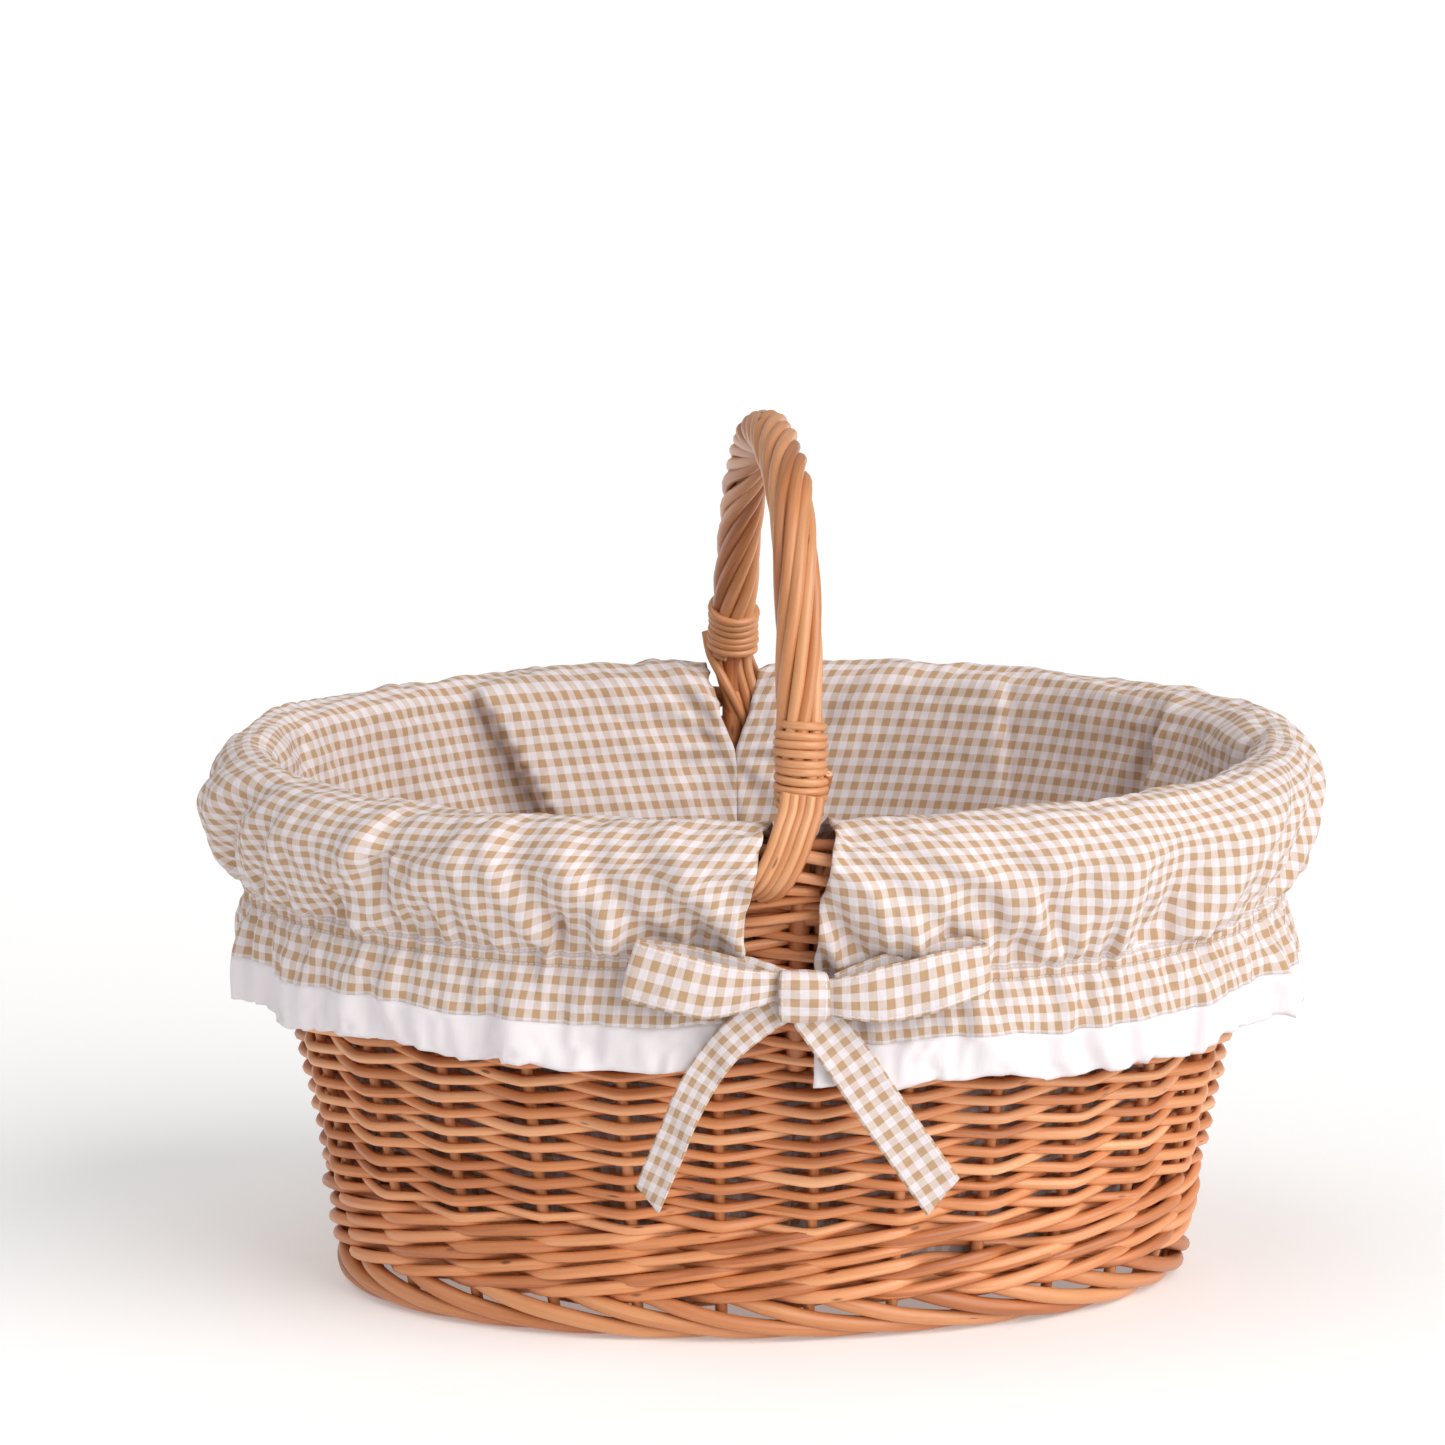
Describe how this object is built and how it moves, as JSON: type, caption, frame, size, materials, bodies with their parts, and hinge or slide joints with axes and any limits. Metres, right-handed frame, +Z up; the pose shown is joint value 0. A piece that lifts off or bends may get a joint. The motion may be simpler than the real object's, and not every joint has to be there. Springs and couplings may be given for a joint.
{
  "type": "picnic basket",
  "caption": "Oval woven willow picnic basket with a fixed roped arch handle and a checked cotton liner folded over the rim and tied with bows.",
  "frame": {"origin": "on the standing plane, under the middle of the bounding box", "axes": "+X along the length of the oval to the right, +Y across the oval to the rear (the front bow faces -Y), +Z up"},
  "size_m": [0.466, 0.3448, 0.3723],
  "materials": {
    "woven_willow": "steamed willow rods, honey brown, thin satin varnish",
    "thick_willow": "thick willow sticks, honey brown, thin satin varnish",
    "handle_willow": "fine willow rods twisted round a bow, thin satin varnish",
    "gingham_cotton": "woven beige and white gingham cotton, matte",
    "white_cotton": "plain off-white cotton hem band, matte",
    "elastic_band": "flat woven white elastic, matte"
  },
  "bodies": {
    "basket": {"base_cross_sticks": "thick_willow", "base_long_sticks": "thick_willow", "base_weave": "thick_willow", "bow_knot_front": "gingham_cotton", "bow_knot_rear": "gingham_cotton", "bow_loop_front_left": "gingham_cotton", "bow_loop_front_right": "gingham_cotton", "bow_loop_rear_left": "gingham_cotton", "bow_loop_rear_right": "gingham_cotton", "bow_tie_front": "gingham_cotton", "bow_tie_rear": "gingham_cotton", "elastic_left": "elastic_band", "elastic_right": "elastic_band", "foot_border": "woven_willow", "handle_bow": "handle_willow", "handle_collar_front": "handle_willow", "handle_collar_rear": "handle_willow", "handle_root_front": "handle_willow", "handle_root_rear": "handle_willow", "handle_roping": "handle_willow", "hem_trim_left": "white_cotton", "hem_trim_right": "white_cotton", "liner_floor": "gingham_cotton", "liner_lining_left": "gingham_cotton", "liner_lining_right": "gingham_cotton", "liner_skirt_left": "gingham_cotton", "liner_skirt_right": "gingham_cotton", "randing_lower": "woven_willow", "randing_middle": "woven_willow", "randing_upper": "woven_willow", "rim_border": "woven_willow", "side_stakes": "thick_willow", "top_wale_1": "woven_willow", "top_wale_2": "woven_willow", "upsett_wale_1": "woven_willow", "upsett_wale_2": "woven_willow", "upsett_wale_3": "woven_willow", "upsett_wale_4": "woven_willow"},
    "front_left_tail": {"bow_tail_front_left": "gingham_cotton"},
    "front_right_tail": {"bow_tail_front_right": "gingham_cotton"},
    "rear_left_tail": {"bow_tail_rear_left": "gingham_cotton"},
    "rear_right_tail": {"bow_tail_rear_right": "gingham_cotton"}
  },
  "joints": [
    {"name": "front_left_tail_swing", "type": "hinge", "parent": "basket", "child": "front_left_tail", "pos_m": [-0.018, -0.1632, 0.1463], "axis": [-1, 0, 0], "range_deg": [0, 90]},
    {"name": "front_right_tail_swing", "type": "hinge", "parent": "basket", "child": "front_right_tail", "pos_m": [0.006, -0.1632, 0.1463], "axis": [-1, 0, 0], "range_deg": [0, 90]},
    {"name": "rear_left_tail_swing", "type": "hinge", "parent": "basket", "child": "rear_left_tail", "pos_m": [0.018, 0.1632, 0.1463], "axis": [1, 0, 0], "range_deg": [0, 90]},
    {"name": "rear_right_tail_swing", "type": "hinge", "parent": "basket", "child": "rear_right_tail", "pos_m": [-0.006, 0.1632, 0.1463], "axis": [1, 0, 0], "range_deg": [0, 90]}
  ]
}
